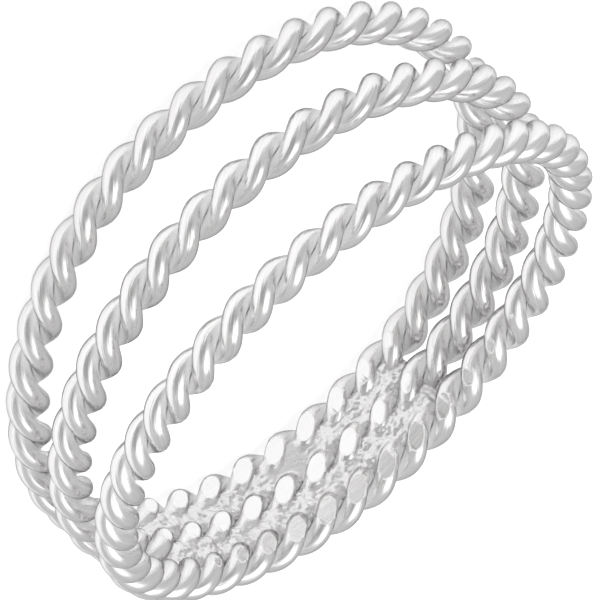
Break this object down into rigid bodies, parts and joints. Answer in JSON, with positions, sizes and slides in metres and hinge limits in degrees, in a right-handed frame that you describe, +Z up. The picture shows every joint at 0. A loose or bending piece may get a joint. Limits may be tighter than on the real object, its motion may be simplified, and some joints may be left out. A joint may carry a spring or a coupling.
{
  "type": "rope twist ring",
  "caption": "Finger ring of twisted silver wire ropes that fan apart over the front and are soldered side by side, filed flat inside, at the back.",
  "frame": {"origin": "under the middle of the ring's box, on the surface that it rests on", "axes": "+Z up with the ring lying on its side, -Y towards the middle of the fan, +Y towards the soldered shank, +X across the finger"},
  "size_m": [0.02, 0.0204, 0.0081],
  "materials": {
    "silver": "polished sterling silver",
    "solder": "polished silver solder"
  },
  "bodies": {
    "root": {"lower_wire_a": "silver", "lower_wire_b": "silver", "middle_wire_a": "silver", "middle_wire_b": "silver", "upper_wire_a": "silver", "upper_wire_b": "silver", "lower_solder": "solder", "upper_solder": "solder"}
  },
  "joints": []
}
